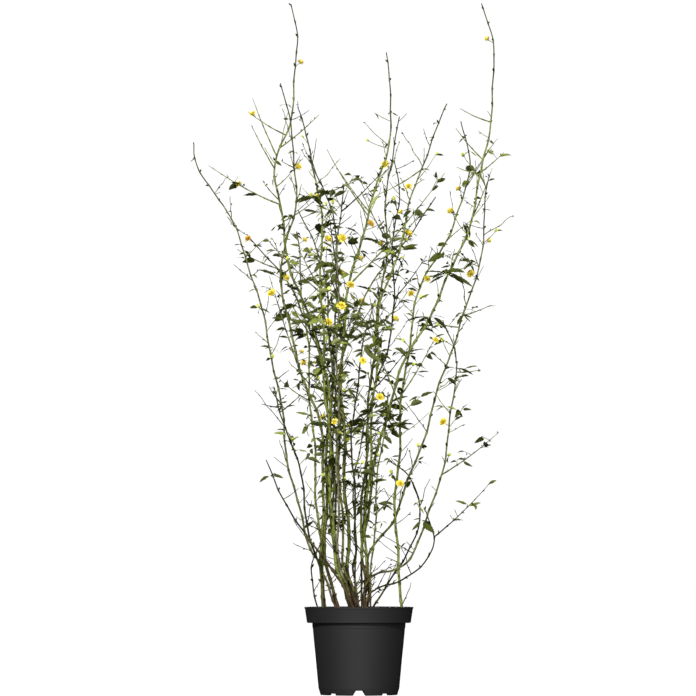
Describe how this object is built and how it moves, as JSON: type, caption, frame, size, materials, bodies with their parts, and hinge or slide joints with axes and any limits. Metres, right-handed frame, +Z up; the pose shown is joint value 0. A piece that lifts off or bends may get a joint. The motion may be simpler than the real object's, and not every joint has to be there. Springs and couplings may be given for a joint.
{
  "type": "potted double japanese kerria",
  "caption": "Upright many-stemmed shrub in a plain round nursery pot: slender arching green canes with thin twigs, small toothed leaves and double yellow blooms.",
  "frame": {"origin": "bottom centre of the whole part's bounding box, at ground level; the pot's axis stands within 15 mm of it", "axes": "+Z up along the pot's axis; the front faces -Y, with +X to the right as seen from the front"},
  "size_m": [0.7782, 0.7442, 1.6764],
  "materials": {
    "pot_plastic": "matte moulded plastic",
    "soil": "loose potting compost",
    "bark": "green ribbed bark, brown near the foot",
    "foliage": "green twigs, leaves and yellow blossom"
  },
  "bodies": {
    "root": {"pot": "pot_plastic", "soil": "soil", "cane_far_left": "bark", "cane_left_tall": "bark", "cane_left_second": "bark", "cane_left_third": "bark", "cane_left_inner": "bark", "cane_left_leaning": "bark", "cane_inner_left": "bark", "cane_centre_back": "bark", "cane_centre_front": "bark", "cane_diagonal": "bark", "cane_centre_tall": "bark", "cane_centre_hooked": "bark", "cane_right_leaning": "bark", "cane_grey_thin": "bark", "cane_inner_right": "bark", "cane_right_tall": "bark", "cane_far_right": "bark", "cane_right_low": "bark", "cane_right_green": "bark", "cane_left_dark": "bark", "cane_left_arch": "bark", "cane_low_right": "bark", "cane_low_arch": "bark", "cane_short_right": "bark", "cane_short_mid": "bark", "cane_loop_stem": "bark", "mass_far_left": "foliage", "mass_left_tall": "foliage", "mass_left_second": "foliage", "mass_left_third": "foliage", "mass_left_inner": "foliage", "mass_left_leaning": "foliage", "mass_inner_left": "foliage", "mass_centre_back": "foliage", "mass_centre_front": "foliage", "mass_diagonal": "foliage", "mass_centre_tall": "foliage", "mass_centre_hooked": "foliage", "mass_right_leaning": "foliage", "mass_grey_thin": "foliage", "mass_inner_right": "foliage", "mass_right_tall": "foliage", "mass_far_right": "foliage", "mass_right_low": "foliage", "mass_right_green": "foliage"}
  },
  "joints": []
}
